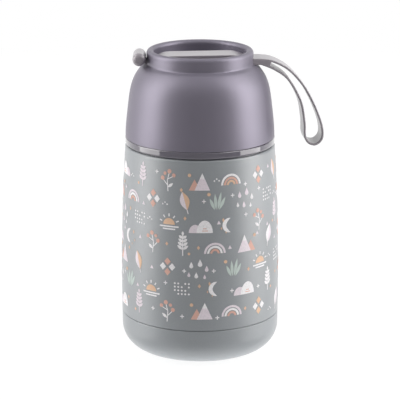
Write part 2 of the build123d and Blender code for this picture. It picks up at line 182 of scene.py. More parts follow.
# %% [markdown]
# ## Cup: pearl lacquer on moulded polypropylene
#
# The drinking cup, which is also the lid, is moulded in polypropylene (PP) and sprayed with
# a satin pearl lacquer in a greyed mauve. Mica flakes in the coat act like thousands of tiny
# mirrors, so the shader is nearly half metal. That deepens the dark side and brightens the
# highlight. The flakes are about 0.1 mm and are drawn at 0.6 mm.

# %% Pearl lacquer on PP
pearl, tree, shader, place = new_material("Pearl_lacquer_on_moulded_PP", Metallic=0.45, IOR=1.5)
flake = add_node(tree, "ShaderNodeTexNoise", {"Vector": place, "Scale": grains_of(0.6), "Detail": 2.0})
glint = add_node(
    tree,
    "ShaderNodeMapRange",
    {"Value": flake.outputs["Fac"], "From Min": 0.3, "From Max": 0.7, "To Min": 0.4, "To Max": 0.46},
)
tree.links.new(glint.outputs["Result"], shader.inputs["Roughness"])
coat = add_node(tree, "ShaderNodeTexNoise", {"Vector": place, "Scale": grains_of(30), "Detail": 2.0})
mauve = add_node(
    tree,
    "ShaderNodeMix",
    {0: coat.outputs["Fac"], 6: linear("#797482"), 7: linear("#817c8a")},
    data_type="RGBA",
)
colour = add_node(
    tree,
    "ShaderNodeMix",
    {0: flake.outputs["Fac"], 6: mauve.outputs[2], 7: linear("#7f7b88")},
    data_type="RGBA",
)
tree.links.new(colour.outputs[2], shader.inputs["Base Color"])
peel = add_node(tree, "ShaderNodeTexNoise", {"Vector": place, "Scale": grains_of(2.5), "Detail": 1.0})
wave = add_node(
    tree, "ShaderNodeBump", {"Height": peel.outputs["Fac"], "Strength": 1.0, "Distance": 0.015 * MM}
)
tree.links.new(wave.outputs["Normal"], shader.inputs["Normal"])
dress(pearl, "cup_shell")

# %% [markdown]
# ## Ring: ABS from a polished mould
#
# The narrow ring between body and cup is ABS plastic moulded against polished steel and
# then clear coated, so it mirrors the room in sharp, bright patches. Fingers leave faint
# rubbed areas on such gloss, which lift its roughness in soft spots a few millimetres wide.

# %% Polished ABS
gloss, tree, shader, place = new_material(
    "ABS_from_a_polished_mould", IOR=1.6, Coat_Weight=1.0, Coat_Roughness=0.06, Coat_IOR=1.6
)
rubbed = add_node(tree, "ShaderNodeTexNoise", {"Vector": place, "Scale": grains_of(7), "Detail": 3.0})
polish = add_node(
    tree,
    "ShaderNodeMapRange",
    {"Value": rubbed.outputs["Fac"], "From Min": 0.35, "From Max": 0.75, "To Min": 0.05, "To Max": 0.1},
)
tree.links.new(polish.outputs["Result"], shader.inputs["Roughness"])
tone = add_node(
    tree,
    "ShaderNodeMix",
    {0: rubbed.outputs["Fac"], 6: linear("#5a5662"), 7: linear("#5f5b67")},
    data_type="RGBA",
)
tree.links.new(tone.outputs[2], shader.inputs["Base Color"])
dress(gloss, "collar")

# %% [markdown]
# ## Bowl, stopper and button: polypropylene with three surfaces
#
# The food side of the lid is bare PP. The bowl comes from a smooth mould and shines softly.
# The stopper's plug and grip cap come from a mould that was eaten matt by sparks, which
# leaves a fine pebbled grain, a third of a millimetre, so that wet fingers don't slip. The
# button is the same plastic with a gloss face.

# %% Smooth PP
bowl_plastic, tree, shader, place = new_material("PP_from_a_smooth_mould", Roughness=0.32, IOR=1.49)
flow = add_node(
    tree, "ShaderNodeTexNoise", {"Vector": place, "Scale": grains_of(14), "Detail": 3.0, "Distortion": 0.6}
)
colour = add_node(
    tree,
    "ShaderNodeMix",
    {0: flow.outputs["Fac"], 6: linear("#8b8892"), 7: linear("#93909a")},
    data_type="RGBA",
)
tree.links.new(colour.outputs[2], shader.inputs["Base Color"])
ripple = add_node(
    tree, "ShaderNodeBump", {"Height": flow.outputs["Fac"], "Strength": 1.0, "Distance": 0.03 * MM}
)
tree.links.new(ripple.outputs["Normal"], shader.inputs["Normal"])
dress(bowl_plastic, "cup_liner")

# %% Grained PP
grained_plastic, tree, shader, place = new_material("PP_with_spark_eroded_grain", Roughness=0.5, IOR=1.49)
pebble = add_node(tree, "ShaderNodeTexNoise", {"Vector": place, "Scale": grains_of(0.35), "Detail": 2.0})
colour = add_node(
    tree,
    "ShaderNodeMix",
    {0: pebble.outputs["Fac"], 6: linear("#6b6874"), 7: linear("#797682")},
    data_type="RGBA",
)
tree.links.new(colour.outputs[2], shader.inputs["Base Color"])
bumps = add_node(
    tree, "ShaderNodeBump", {"Height": pebble.outputs["Fac"], "Strength": 1.0, "Distance": 0.03 * MM}
)
tree.links.new(bumps.outputs["Normal"], shader.inputs["Normal"])
dress(grained_plastic, "stopper_plug", "stopper_cover", "vent_stem", "vent_nut")

# %% Glossy PP
button_plastic, tree, shader, place = new_material("PP_button_with_a_gloss_face", Roughness=0.22, IOR=1.49)
flow = add_node(tree, "ShaderNodeTexNoise", {"Vector": place, "Scale": grains_of(6), "Detail": 2.0})
colour = add_node(
    tree,
    "ShaderNodeMix",
    {0: flow.outputs["Fac"], 6: linear("#b5b1b8"), 7: linear("#bdb9c0")},
    data_type="RGBA",
)
tree.links.new(colour.outputs[2], shader.inputs["Base Color"])
dress(button_plastic, "vent_button")

# %% [markdown]
# ## Food vessel and bottom plate: turned stainless steel
#
# Steel that was spun on a lathe keeps very fine rings round its axis, about 0.15 mm apart
# here and drawn at 0.4 mm. To draw rings on any turned shape, the texture is looked up by
# distance from the axis and by height, and hardly at all by the way round. The rings
# stretch each highlight across them. Metal needs no refractive index of its own.

# %% Turned stainless steel
turned_steel, tree, shader, place = new_material("Stainless_steel_turned_on_a_lathe", Metallic=1.0)
axes = add_node(tree, "ShaderNodeSeparateXYZ", {"Vector": place})
level = add_node(
    tree, "ShaderNodeCombineXYZ", {"X": axes.outputs["X"], "Y": axes.outputs["Y"], "Z": 0.0}
)
reach = add_node(tree, "ShaderNodeVectorMath", {0: level.outputs["Vector"]}, operation="LENGTH")
turn = add_node(tree, "ShaderNodeMath", {0: axes.outputs["Y"], 1: axes.outputs["X"]}, operation="ARCTAN2")
little = add_node(tree, "ShaderNodeMath", {0: turn.outputs[0], 1: 0.2 * MM}, operation="MULTIPLY")
round_the_axis = add_node(
    tree,
    "ShaderNodeCombineXYZ",
    {"X": reach.outputs["Value"], "Y": little.outputs[0], "Z": axes.outputs["Z"]},
)
rings = add_node(
    tree,
    "ShaderNodeTexNoise",
    {"Vector": round_the_axis.outputs["Vector"], "Scale": grains_of(0.4), "Detail": 3.0},
)
brightness = add_node(
    tree,
    "ShaderNodeMix",
    {0: rings.outputs["Fac"], 6: linear("#c3c2bf"), 7: linear("#d6d5d2")},
    data_type="RGBA",
)
tree.links.new(brightness.outputs[2], shader.inputs["Base Color"])
drag = add_node(
    tree,
    "ShaderNodeMapRange",
    {"Value": rings.outputs["Fac"], "From Min": 0.3, "From Max": 0.7, "To Min": 0.22, "To Max": 0.34},
)
tree.links.new(drag.outputs["Result"], shader.inputs["Roughness"])
score = add_node(
    tree, "ShaderNodeBump", {"Height": rings.outputs["Fac"], "Strength": 1.0, "Distance": 0.01 * MM}
)
tree.links.new(score.outputs["Normal"], shader.inputs["Normal"])
dress(turned_steel, "inner_liner", "bottom_plate")

# %% [markdown]
# ## Gaskets: milky moulded silicone
#
# Seals for food are clear silicone rubber. It is never quite clear: it glows milky white,
# with a satin skin from the mould and a little dust. Some transmission lets light through.

# %% Milky silicone
milky_silicone, tree, shader, place = new_material(
    "Milky_silicone_moulded", Roughness=0.4, IOR=1.41, Transmission_Weight=0.35
)
haze = add_node(tree, "ShaderNodeTexNoise", {"Vector": place, "Scale": grains_of(3), "Detail": 3.0})
colour = add_node(
    tree,
    "ShaderNodeMix",
    {0: haze.outputs["Fac"], 6: linear("#dedfdb"), 7: linear("#ecece8")},
    data_type="RGBA",
)
tree.links.new(colour.outputs[2], shader.inputs["Base Color"])
skin = add_node(
    tree, "ShaderNodeBump", {"Height": haze.outputs["Fac"], "Strength": 1.0, "Distance": 0.02 * MM}
)
tree.links.new(skin.outputs["Normal"], shader.inputs["Normal"])
dress(milky_silicone, "stopper_gasket", "cup_gasket", "vent_seal")

# %% [markdown]
# ## Base pad: moulded rubber
#
# The jar stands on a soft pad. It is matt rubber with raised rings 2.5 mm apart that grip
# the table, and a gritty skin of quarter-millimetre grains. The rings are a sine wave of
# the distance from the axis.

# %% Moulded rubber with rings
ringed_rubber, tree, shader, place = new_material("Rubber_moulded_with_rings", Roughness=0.82, IOR=1.52)
across = add_node(tree, "ShaderNodeVectorMath", {0: place}, operation="LENGTH")
beat = add_node(
    tree, "ShaderNodeMath", {0: across.outputs["Value"], 1: 2 * math.pi / (2.5 * MM)}, operation="MULTIPLY"
)
crest = add_node(tree, "ShaderNodeMath", {0: beat.outputs[0]}, operation="SINE")
grit = add_node(tree, "ShaderNodeTexNoise", {"Vector": place, "Scale": grains_of(0.25), "Detail": 2.0})
relief = add_node(
    tree,
    "ShaderNodeMath",
    {0: grit.outputs["Fac"], 1: 0.35, 2: crest.outputs[0]},
    operation="MULTIPLY_ADD",
)
colour = add_node(
    tree,
    "ShaderNodeMix",
    {0: grit.outputs["Fac"], 6: linear("#55525c"), 7: linear("#65626c")},
    data_type="RGBA",
)
tree.links.new(colour.outputs[2], shader.inputs["Base Color"])
rubber_relief = add_node(
    tree, "ShaderNodeBump", {"Height": relief.outputs[0], "Strength": 1.0, "Distance": 0.12 * MM}
)
tree.links.new(rubber_relief.outputs["Normal"], shader.inputs["Normal"])
dress(ringed_rubber, "base_pad")

# %% [markdown]
# ## Hidden pieces: foam, solder glass and getter
#
# Three small things are never seen on a whole jar, but belong to it. The stopper is filled
# with closed-cell polyurethane foam, cream coloured with cells of about 0.6 mm. A bead of
# solder glass closes the hole through which the air was pumped out: dark, smooth and full
# of tiny crystals. The getter pill, pressed from metal powder, soaks up the last of the gas.

# %% Closed-cell foam
foam, tree, shader, place = new_material("Polyurethane_foam_closed_cell", Roughness=0.9, IOR=1.45)
cells = add_node(tree, "ShaderNodeTexVoronoi", {"Vector": place, "Scale": grains_of(0.6)})
# Painted shade: each cell is darker towards its middle, where the bump below makes its hollow.
colour = add_node(
    tree,
    "ShaderNodeMix",
    {0: cells.outputs["Distance"], 6: linear("#d3bf8e"), 7: linear("#eddfb8")},
    data_type="RGBA",
)
tree.links.new(colour.outputs[2], shader.inputs["Base Color"])
pores = add_node(
    tree, "ShaderNodeBump", {"Height": cells.outputs["Distance"], "Strength": 1.0, "Distance": 0.2 * MM}
)
tree.links.new(pores.outputs["Normal"], shader.inputs["Normal"])
dress(foam, "stopper_foam")

# %% Solder glass
solder_glass, tree, shader, place = new_material("Solder_glass_fused", Roughness=0.14, IOR=1.8)
crystals = add_node(tree, "ShaderNodeTexVoronoi", {"Vector": place, "Scale": grains_of(0.5)})
colour = add_node(
    tree,
    "ShaderNodeMix",
    {0: crystals.outputs["Distance"], 6: linear("#4d5148"), 7: linear("#6f7467")},
    data_type="RGBA",
)
tree.links.new(colour.outputs[2], shader.inputs["Base Color"])
dress(solder_glass, "vacuum_seal")

# %% Pressed metal powder
powder_metal, tree, shader, place = new_material(
    "Getter_alloy_pressed_powder", Metallic=1.0, Roughness=0.62
)
powder = add_node(tree, "ShaderNodeTexVoronoi", {"Vector": place, "Scale": grains_of(0.3)})
# Painted shade: each pit is darker towards its middle, where the bump below is lowest.
colour = add_node(
    tree,
    "ShaderNodeMix",
    {0: powder.outputs["Distance"], 6: linear("#77726c"), 7: linear("#a29d96")},
    data_type="RGBA",
)
tree.links.new(colour.outputs[2], shader.inputs["Base Color"])
pressed = add_node(
    tree, "ShaderNodeBump", {"Height": powder.outputs["Distance"], "Strength": 1.0, "Distance": 0.05 * MM}
)
tree.links.new(pressed.outputs["Normal"], shader.inputs["Normal"])
dress(powder_metal, "getter")

# %% [markdown]
# ## Spring: a coil of drawn wire
#
# A real compression spring isn't an even screw. Its first and last turns lie almost flat, so
# that it sits square. Here a ring of points is carried along the coil, and the rise slows
# down at both ends. When the button is pressed the real coil shortens, which a stiff piece
# can't do; here the coil only moves with the stopper, on a mesh of its own.
#
# Two helpers come first. One closes a round tube about a line of points. The other turns a
# finished bmesh into an object.

# %% Helpers for pieces made in mesh code
def piece_from(shape, name, material):
    """Turn a bmesh into a smooth object with one material."""
    mesh = bpy.data.meshes.new(name)
    bmesh.ops.recalc_face_normals(shape, faces=shape.faces)
    shape.to_mesh(mesh)
    shape.free()
    mesh.shade_smooth()
    mesh.materials.append(material)
    piece = bpy.data.objects.new(name, mesh)
    bpy.context.scene.collection.objects.link(piece)
    return piece


def tube_along(centres, radius, sides):
    """Closed round tube whose section stands square to the line of centres."""
    shape = bmesh.new()
    rings = []
    for i, centre in enumerate(centres):
        ahead = centres[min(i + 1, len(centres) - 1)] - centres[max(i - 1, 0)]
        side = ahead.cross(Vector((0, 0, 1))).normalized()
        up = side.cross(ahead).normalized()
        turns = [2 * math.pi * k / sides for k in range(sides)]
        points = [centre + side * radius * math.cos(a) + up * radius * math.sin(a) for a in turns]
        rings.append([shape.verts.new(p) for p in points])
    for low, high in zip(rings, rings[1:]):
        for k in range(sides):
            shape.faces.new((low[k], low[k - 1], high[k - 1], high[k]))
    shape.faces.new(rings[0])
    shape.faces.new(rings[-1])
    return shape


# %% Drawn spring wire
spring_wire, tree, shader, place = new_material("Spring_steel_drawn_wire", Metallic=1.0)
drawn = add_node(tree, "ShaderNodeTexNoise", {"Vector": place, "Scale": grains_of(0.3), "Detail": 3.0})
colour = add_node(
    tree,
    "ShaderNodeMix",
    {0: drawn.outputs["Fac"], 6: linear("#a3a4a6"), 7: linear("#c4c5c6")},
    data_type="RGBA",
)
tree.links.new(colour.outputs[2], shader.inputs["Base Color"])
worn = add_node(
    tree,
    "ShaderNodeMapRange",
    {"Value": drawn.outputs["Fac"], "From Min": 0.3, "From Max": 0.7, "To Min": 0.2, "To Max": 0.35},
)
tree.links.new(worn.outputs["Result"], shader.inputs["Roughness"])

# %% Wind the coil
spring_low, spring_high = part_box("vent_spring")
wire_radius, wire_sides = 0.3 * MM, 10
coil_radius = 3.6 * MM
coil_turns, steps_in_a_turn = 6, 28
end_flatness = 0.75
coil_foot = spring_low.z + wire_radius
coil_rise = spring_high.z - spring_low.z - 2 * wire_radius
coil_steps = coil_turns * steps_in_a_turn
coil = []
for i in range(coil_steps + 1):
    share = i / coil_steps
    lift = share - math.sin(2 * math.pi * share) / (2 * math.pi) * end_flatness
    turn = 2 * math.pi * coil_turns * share
    coil.append(
        Vector((coil_radius * math.cos(turn), coil_radius * math.sin(turn), coil_foot + coil_rise * lift))
    )
spring = piece_from(tube_along(coil, wire_radius, wire_sides), "release_spring", spring_wire)
print("coil of", coil_turns, "turns,", len(spring.data.polygons), "faces")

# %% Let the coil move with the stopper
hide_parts("vent_spring")
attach(spring, "stopper")
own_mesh(spring)

# %% [markdown]
# ## Strap: one soft piece of silicone
#
# The strap is moulded in one piece: a flat band that lies over the cup's raised floor, a
# thick root outside a slot in the cup's neck, a thin ribbon that folds down and back into a
# long carrying loop, and on the far side a narrow tongue through a second slot, with a small
# round bar on its end. Pull the loop over that bar and the cup is tied shut.
#
# Each stretch is first laid out as a simple closed solid, a ribbon that follows a line of
# points. A voxel remesh then pours them together into one skin with no inner walls, and
# light smoothing rounds every edge by about half a millimetre, as a mould does.

# %% Closed solids to build the strap from
strap_joint = next(j for j in frame["joints"] if j["name"] == "strap_swing")
hinge = Vector(strap_joint["pos_m"]) / MM
band_width = 15.2
band_thickness = 3.6
strand_thickness = 1.3


def along_line(points, steps):
    """Smooth curve through all the points, this many steps from each to the next."""
    ends = [2 * points[0] - points[1], *points, 2 * points[-1] - points[-2]]
    curve = []
    for a, b, c, d in zip(ends, ends[1:], ends[2:], ends[3:]):
        for k in range(steps):
            t = k / steps
            curve.append(
                0.5
                * (2 * b + (c - a) * t + (2 * a - 5 * b + 4 * c - d) * t**2 + (3 * b - a - 3 * c + d) * t**3)
            )
    return curve + [points[-1]]


def prism(shape, outline, width):
    """Closed solid between two flat outlines on either side of the middle plane."""
    near = [shape.verts.new((x * MM, -width / 2 * MM, z * MM)) for x, z in outline]
    far = [shape.verts.new((x * MM, width / 2 * MM, z * MM)) for x, z in outline]
    for k in range(len(outline)):
        shape.faces.new((near[k - 1], near[k], far[k], far[k - 1]))
    shape.faces.new(near)
    shape.faces.new(far)


def ribbon(shape, line, thickness, width):
    """Flat band that follows a line of points in the plane of the strap."""
    edges = []
    for i, point in enumerate(line):
        ahead = (line[min(i + 1, len(line) - 1)] - line[max(i - 1, 0)]).normalized()
        out = Vector((-ahead.y, ahead.x)) * thickness / 2
        edges.append((point + out, point - out))
    for a, b in zip(edges, edges[1:]):
        prism(shape, [a[0], a[1], b[1], b[0]], width)


# %% Round solids
def lathe(shape, section, centre, turn, sides):
    """Round solid from (distance along the axis, radius) pairs. Its axis is Y, turned by degrees."""
    c, s = math.cos(math.radians(turn)), math.sin(math.radians(turn))
    rings = []
    for along, radius in section:
        ring = []
        for k in range(sides):
            a, b = radius * math.cos(2 * math.pi * k / sides), radius * math.sin(2 * math.pi * k / sides)
            offset = Vector((a * c - along * s, a * s + along * c, b))
            ring.append(shape.verts.new((centre + offset) * MM))
        rings.append(ring)
    for low, high in zip(rings, rings[1:]):
        for k in range(sides):
            shape.faces.new((low[k - 1], low[k], high[k], high[k - 1]))
    shape.faces.new(rings[0])
    shape.faces.new(rings[-1])


# %% [markdown]
# The cup's recess has a raised, flat floor that falls away in an S-curve towards its edge,
# and the band follows it. The loop is one smooth curve through points that run out from the
# root, down along the jar's side, round the fold and back up. The band's X counts from the
# jar's axis. Its height and the loop's points count from the line on which the strap bends.

# %% Middle lines of the band and the loop
crown_flat, crown_end, crown_rise = 17.5, 28.5, 2.5


def band_height(x):
    """Middle of the band above the recess floor's edge, over the crowned floor."""
    t = min(max((abs(x) - crown_flat) / (crown_end - crown_flat), 0), 1)
    return hinge.z + crown_rise * (1 - t * t * (3 - 2 * t))


def band_between(first, last, steps):
    """Middle line of the band from one X to another."""
    across = [first + (last - first) * i / steps for i in range(steps + 1)]
    return [Vector((x, band_height(x))) for x in across]


loop_offsets = [
    (0, 1.15), (7.5, -0.2), (16.3, -5.2), (24.4, -14.3), (30.3, -24.8), (34.8, -36.0),
    (36.1, -43.3), (34.9, -47.3), (31.6, -49.4), (27.8, -48.1), (25.8, -44.1), (25.4, -36.1),
    (23.0, -23.6), (15.9, -10.8), (7.9, -4.6), (0, -1.15),
]
loop_points = [Vector((hinge.x + x, hinge.z + z)) for x, z in loop_offsets]
loop_line = along_line(loop_points, 10)
root_share = 0.72
root_top = loop_points[0].lerp(loop_points[1], root_share)
root_under = loop_points[-1].lerp(loop_points[-2], root_share)
loop_length = sum((b - a).length for a, b in zip(loop_line, loop_line[1:]))
print("the loop is", round(loop_length), "mm of ribbon")

# %% Band, loop and root
neck_outside, band_end = -30.7, -25.0
tongue_width, tongue_thickness = 5.2, 2.4
root_end = (band_width / 2, band_thickness / 2)

shape = bmesh.new()
ribbon(shape, band_between(band_end, hinge.x, 90), band_thickness, band_width)
ribbon(shape, band_between(neck_outside, band_end, 12), band_thickness, tongue_width)
ribbon(shape, loop_line, strand_thickness, band_width)
prism(shape, [loop_points[0], root_top, root_under, loop_points[-1]], band_width)
lathe(shape, [(-root_end[0], root_end[1]), root_end], Vector((hinge.x, 0, hinge.z)), 0, 32)
print("band, loop and root:", len(shape.faces), "faces")

# %% [markdown]
# The bar is a round rod with domed ends. Its section is a quarter circle at each end of a
# straight side, turned about its axis as on a lathe. Soft rubber never stands quite true,
# so the bar is turned a few degrees on its tongue.

# %% Tongue and bar
bar_centre = Vector((-34.9, 0, hinge.z + 2.6))
bar_half, bar_radius, bar_round, bar_turn = 9.5, 3.8, 2.5, -5.5
tongue_top = hinge.z + band_thickness / 2
tongue_low = tongue_top - tongue_thickness
tongue_side = [
    (bar_centre.x, tongue_low),
    (neck_outside, tongue_low),
    (neck_outside, tongue_top),
    (bar_centre.x, tongue_top),
]
prism(shape, tongue_side, tongue_width)
cap = []
for degrees in range(0, 91, 15):
    a = math.radians(degrees)
    along, radius = bar_round * math.sin(a), bar_round * math.cos(a)
    cap.append((bar_half - bar_round + along, bar_radius - bar_round + radius))
lathe(shape, [(-along, radius) for along, radius in reversed(cap)] + cap, bar_centre, bar_turn, 48)
print("bar", 2 * bar_half, "mm long and", 2 * bar_radius, "mm thick")

# %% [markdown]
# The finish is solid-coloured silicone. The rubber itself scatters light and looks dull, but
# the mould leaves a closed, satin skin on it, which shines where it is seen at a low angle.
# That skin is the shader's clear coat. Silicone is slightly sticky too, so it always carries
# a few specks of lint.

# %% Moulded silicone
strap_silicone, tree, shader, place = new_material(
    "Silicone_rubber_moulded",
    Roughness=0.35,
    IOR=1.43,
    Coat_Weight=1.0,
    Coat_Roughness=0.3,
    Coat_IOR=1.5,
)
skin = add_node(tree, "ShaderNodeTexNoise", {"Vector": place, "Scale": grains_of(9), "Detail": 3.0})
body_colour = add_node(
    tree,
    "ShaderNodeMix",
    {0: skin.outputs["Fac"], 6: linear("#979198"), 7: linear("#a09aa1")},
    data_type="RGBA",
)
lint = add_node(tree, "ShaderNodeTexNoise", {"Vector": place, "Scale": grains_of(0.7), "Detail": 1.0})
few = add_node(
    tree,
    "ShaderNodeMapRange",
    {"Value": lint.outputs["Fac"], "From Min": 0.68, "From Max": 0.76, "To Min": 0.0, "To Max": 0.35},
)
colour = add_node(
    tree,
    "ShaderNodeMix",
    {0: few.outputs["Result"], 6: body_colour.outputs[2], 7: linear("#c9c5c8")},
    data_type="RGBA",
)
tree.links.new(colour.outputs[2], shader.inputs["Base Color"])
matt = add_node(tree, "ShaderNodeTexNoise", {"Vector": place, "Scale": grains_of(0.4), "Detail": 2.0})
matt_skin = add_node(
    tree, "ShaderNodeBump", {"Height": matt.outputs["Fac"], "Strength": 1.0, "Distance": 0.02 * MM}
)
tree.links.new(matt_skin.outputs["Normal"], shader.inputs["Normal"])
print(strap_silicone.name)

# %% Pour the strap into one skin
strap = piece_from(shape, "carrying_strap", strap_silicone)
pour = strap.modifiers.new("Pour into one skin", "REMESH")
pour.mode = "VOXEL"
pour.voxel_size = 0.3 * MM
pour.use_smooth_shade = True
soften = strap.modifiers.new("Round the edges", "SMOOTH")
soften.factor = 0.5
soften.iterations = 6
bpy.context.view_layer.update()
poured = bpy.data.meshes.new_from_object(strap.evaluated_get(bpy.context.evaluated_depsgraph_get()))
strap.modifiers.clear()
strap.data = poured
poured.name = "carrying_strap"
poured.materials.clear()
poured.materials.append(strap_silicone)
print("strap has", len(poured.polygons), "faces")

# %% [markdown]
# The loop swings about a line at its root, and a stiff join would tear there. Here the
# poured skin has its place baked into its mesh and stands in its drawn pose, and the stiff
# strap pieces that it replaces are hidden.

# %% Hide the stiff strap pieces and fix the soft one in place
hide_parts("strap_anchor", "strap_loop")
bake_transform(strap)

# %% [markdown]
# ## Screen print: small pictures in five flat inks
#
# The body carries a printed pattern. It is screen printed: each ink is a flat film of about
# 0.05 mm that lies on the lacquer, with crisp edges and no shading. An even scatter of
# mountains, sprigs, moons, suns, rain and dots suits it, each about a centimetre high.
#
# Every picture is drawn flat, in millimetres, out of shapes that bulge outward everywhere
# (discs, bars, leaves, drops), because such a shape can be cut by a straight line and stay
# one piece. That is what wrapping needs: a flat sheet can't bend round a jar, but strips
# 2 mm wide can. Each shape is cut into strips and each corner is moved onto the jar's wall.

# %% Discs, bars and leaves
def disc(x, y, wide, tall=None, start=0.0, end=360.0, steps=20):
    """Ellipse, or the part of it between two directions, with straight edges closing it."""
    tall = wide if tall is None else tall
    whole = end - start == 360
    angles = [math.radians(start + (end - start) * k / steps) for k in range(steps + (not whole))]
    return [[(x + wide * math.cos(a), y + tall * math.sin(a)) for a in angles]]


def stroke(x0, y0, x1, y1, width):
    """Straight bar from one point to another."""
    length = math.hypot(x1 - x0, y1 - y0)
    dx, dy = (x1 - x0) / length * width / 2, (y1 - y0) / length * width / 2
    return [[(x0 + dy, y0 - dx), (x1 + dy, y1 - dx), (x1 - dy, y1 + dx), (x0 - dy, y0 + dx)]]


def leaf(x, y, length, width, direction, half=0):
    """Pointed leaf that starts at a point. Half is 1 or -1 for one side of its rib only."""
    steps = [k / 10 for k in range(11)]
    left = [(length * t, width / 2 * math.sin(math.pi * t) * (half >= 0)) for t in reversed(steps)]
    right = [(length * t, -width / 2 * math.sin(math.pi * t) * (half <= 0)) for t in steps]
    c, s = math.cos(math.radians(direction)), math.sin(math.radians(direction))
    outline = right + left[1:-1]
    return [[(x + c * a - s * b, y + s * a + c * b) for a, b in outline]]


# %% Drops, bows and moons
def drop(x, y, radius):
    """Raindrop: a disc with its top drawn out to a point."""
    lower = [math.radians(a) for a in range(150, 391, 20)]
    point = (x, y + 2.4 * radius)
    return [[(x + radius * math.cos(a), y + radius * math.sin(a)) for a in lower] + [point]]


def bow(x, y, radius, width, start, end, steps=14):
    """Curved band, as a chain of small four-sided pieces."""
    turns = [math.radians(start + (end - start) * k / steps) for k in range(steps + 1)]
    low, high = radius - width / 2, radius + width / 2
    return [
        [
            (x + low * math.cos(a), y + low * math.sin(a)),
            (x + high * math.cos(a), y + high * math.sin(a)),
            (x + high * math.cos(b), y + high * math.sin(b)),
            (x + low * math.cos(b), y + low * math.sin(b)),
        ]
        for a, b in zip(turns, turns[1:])
    ]


def crescent(x, y, radius, steps=14):
    """Moon: pieces between an outer arc and a flatter inner arc with the same two tips."""
    first_tip, sweep, hollow = 80, 200, 0.62
    turns = [math.radians(first_tip + sweep * k / steps) for k in range(steps + 1)]
    outer = [(x + radius * math.cos(a), y + radius * math.sin(a)) for a in turns]
    tips = outer[0], outer[-1]
    inner = []
    for k in range(steps + 1):
        t = k / steps
        bend = hollow * radius * math.sin(math.pi * t)
        inner.append((tips[0][0] * (1 - t) + tips[1][0] * t - bend, tips[0][1] * (1 - t) + tips[1][1] * t))
    chain = list(zip(outer, inner))
    return [[a[0], b[0], b[1], a[1]] for a, b in zip(chain, chain[1:])]


# %% [markdown]
# A picture is a list of (ink, shapes), in the order in which the inks are printed. The inks
# are an off-white, a pale lilac pink, a salmon, a peach and a pale mint. Each picture is
# drawn round its own middle, about 11 mm wide, and can be flipped, which mirrors it or
# changes its inks.

# %% Pictures of hills and sky
def mountains(flip):
    s = -1 if flip else 1
    snow = [[(-s * 2.55, 2.1), (-s * 0.25, 2.1), (-s * 1.4, 4.6)]]
    for k in range(3):
        x = -s * 2.55 + k * s * 0.767
        snow.append([(x, 2.1), (x + s * 0.767, 2.1), (x + s * 0.383, 1.2)])
    return [
        ("salmon", [[(-s * 0.6, -4.2), (s * 5.6, -4.2), (s * 2.6, 1.4)]]),
        ("lilac", [[(-s * 5.4, -4.2), (s * 2.6, -4.2), (-s * 1.4, 4.6)]]),
        ("white", snow),
        ("peach", disc(s * 5.2, 3.4, 0.9)),
    ]


def hills(flip):
    s = -1 if flip else 1
    furrows = stroke(-3.5 * s, -2.9, -0.5 * s, -2.9, 0.4) + stroke(-2.8 * s, -1.8, -1.0 * s, -1.8, 0.4)
    return [
        ("lilac", disc(s * 2.9, -4.0, 3.3, 4.2, 0, 180)),
        ("white", disc(-s * 1.9, -4.0, 4.1, 6.4, 0, 180)),
        ("salmon", furrows),
    ]


def moon(flip):
    s = -1 if flip else 1
    stars = [(3.6, 2.8, 1.1), (4.6, -1.4, 0.75), (2.2, -3.6, 0.6)]
    sparks = []
    for x, y, r in stars:
        sparks.append([(s * x - r * 0.6, y), (s * x, y - r), (s * x + r * 0.6, y), (s * x, y + r)])
    return [("white", crescent(-0.4, 0, 3.7)), ("peach", sparks)]


def sunrise(flip):
    ink = "peach" if flip else "salmon"
    rays = []
    for k in range(5):
        a = math.radians(22 + 34 * k)
        c, s = math.cos(a), math.sin(a)
        rays += stroke(4.1 * c, -1.4 + 4.1 * s, 5.6 * c, -1.4 + 5.6 * s, 0.65)
    lines = stroke(-5.2, -2.4, 5.2, -2.4, 0.75) + stroke(-3.4, -3.7, 3.4, -3.7, 0.75)
    return [(ink, disc(0, -1.4, 3.2, 3.2, 0, 180)), ("white", rays + lines)]


def rain(flip):
    first, second = ("lilac", "white") if flip else ("white", "lilac")
    return [
        (first, drop(-3.4, 1.2, 1.0) + drop(1.0, 2.2, 1.15) + drop(-0.9, -4.0, 0.95)),
        (second, drop(4.3, -0.6, 0.95) + drop(-4.6, -3.6, 0.75) + drop(3.3, -4.6, 0.7)),
    ]


print("5 pictures: mountains, hills, moon, sunrise, rain")

# %% Pictures of plants
def sprig(flip):
    s = -1 if flip else 1
    leaves = []
    for k in range(4):
        leaves += leaf(0, -2.2 + 1.9 * k, 3.6 - 0.35 * k, 1.5, 38)
        leaves += leaf(0, -2.2 + 1.9 * k, 3.6 - 0.35 * k, 1.5, 142)
    top = leaf(0, 4.9, 2.4, 1.3, 90)
    ink = "lilac" if flip else "white"
    return [(ink, stroke(0, -5.4, 0, 5.2, 0.55) + leaves + top), ("peach", disc(s * 3.2, -4.2, 0.7))]


def berries(flip):
    s = -1 if flip else 1
    twig = stroke(0, -5.2, s * 0.5, 0.2, 0.45) + stroke(s * 0.5, 0.2, -s * 0.6, 4.4, 0.45)
    twig += stroke(s * 0.2, -2.2, s * 2.9, 0.6, 0.4) + stroke(s * 0.3, 0.9, -s * 2.6, 2.4, 0.4)
    fruit = []
    for x, y, r in ((-s * 0.6, 4.9, 1.15), (s * 3.2, 1.3, 1.1), (-s * 3.1, 3.0, 1.0), (s * 1.9, 3.7, 0.9)):
        fruit += disc(x, y, r, steps=16)
    return [("white", twig + leaf(s * 0.1, -3.2, 3.6, 1.5, 90 + s * 52)), ("salmon", fruit)]


